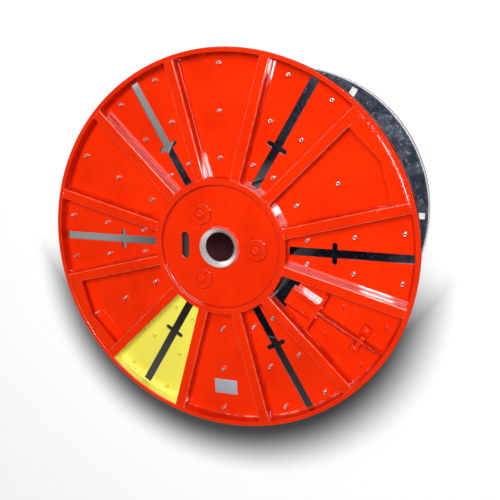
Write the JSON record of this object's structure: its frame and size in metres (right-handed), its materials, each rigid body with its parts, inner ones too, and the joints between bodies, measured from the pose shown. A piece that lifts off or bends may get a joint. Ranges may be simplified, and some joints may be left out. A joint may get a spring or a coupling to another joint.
{
  "type": "collapsible cable reel",
  "caption": "Steel cable reel with ribbed flanges, strap slots, a spindle bore, a screw clamp for the cable end, a barrel of folding shells and a loose flange that pulls off.",
  "frame": {"origin": "middle of the spindle bore, half way between the outer faces of the flanges", "axes": "+Z up along the reel's axis from the loose flange on the floor to the front flange, +X to the right and +Y upwards as the front flange is seen in the picture"},
  "size_m": [0.9999, 1, 0.674],
  "materials": {
    "red_paint": "gloss enamel, worn at the edges",
    "polished_steel": "polished stainless sheet",
    "machined_steel": "bare machined steel",
    "shell_steel": "bare rolled steel"
  },
  "bodies": {
    "back_flange": {"rim_back": "red_paint", "ribs_back": "red_paint", "hub_ring_back": "red_paint", "hub_disc_back": "red_paint", "sector_sheets_back": "red_paint", "end_washers_back": "red_paint", "end_screws_back": "red_paint", "linings_back": "polished_steel", "lining_lip_back": "polished_steel", "bush_back": "machined_steel", "hub_plate_back": "shell_steel"},
    "front_flange": {"rim_front": "red_paint", "ribs_front": "red_paint", "hub_ring_front": "red_paint", "hub_disc_front": "red_paint", "sector_sheets_front": "red_paint", "end_washers_front": "red_paint", "end_screws_front": "red_paint", "cover_plates": "red_paint", "clamp_nut_bracket": "red_paint", "linings_front": "polished_steel", "lining_lip_front": "polished_steel", "hub_tube": "machined_steel", "tie_shafts": "machined_steel", "hub_plate_front": "shell_steel"},
    "shell_1": {"shell_1_plate": "shell_steel", "shell_1_arms": "shell_steel", "shell_1_pivot_tube": "shell_steel"},
    "shell_2": {"shell_2_plate": "shell_steel", "shell_2_arms": "shell_steel", "shell_2_pivot_tube": "shell_steel"},
    "shell_3": {"shell_3_plate": "shell_steel", "shell_3_arms": "shell_steel", "shell_3_pivot_tube": "shell_steel"},
    "clamp_jaw": {"clamp_jaw": "red_paint", "clamp_end_plate": "red_paint"},
    "clamp_screw": {"clamp_screw": "red_paint"}
  },
  "joints": [
    {"name": "flange_pull_off", "type": "slide", "parent": "back_flange", "child": "front_flange", "axis": [0, 0, 1], "range_m": [0, 0.15]},
    {"name": "shell_1_fold", "type": "hinge", "parent": "front_flange", "child": "shell_1", "pos_m": [0.101, 0, 0], "axis": [0, 0, 1], "range_deg": [0, 9]},
    {"name": "shell_2_fold", "type": "hinge", "parent": "front_flange", "child": "shell_2", "pos_m": [-0.0505, 0.08747, 0], "axis": [0, 0, 1], "range_deg": [0, 9]},
    {"name": "shell_3_fold", "type": "hinge", "parent": "front_flange", "child": "shell_3", "pos_m": [-0.0505, -0.08747, 0], "axis": [0, 0, 1], "range_deg": [0, 9]},
    {"name": "clamp_jaw_slide", "type": "slide", "parent": "front_flange", "child": "clamp_jaw", "axis": [-0.866, 0.5, 0], "range_m": [0, 0.024]},
    {"name": "clamp_screw_turn", "type": "hinge", "parent": "clamp_jaw", "child": "clamp_screw", "pos_m": [0.34641, -0.2, 0.325], "axis": [-0.866, 0.5, 0], "range_deg": [0, 2890]}
  ],
  "couplings": [
    {"joint": "shell_2_fold", "follows": "shell_1_fold", "ratio": 1},
    {"joint": "shell_3_fold", "follows": "shell_1_fold", "ratio": 1},
    {"joint": "clamp_screw_turn", "follows": "clamp_jaw_slide", "rad_per_m": 2094.4}
  ]
}
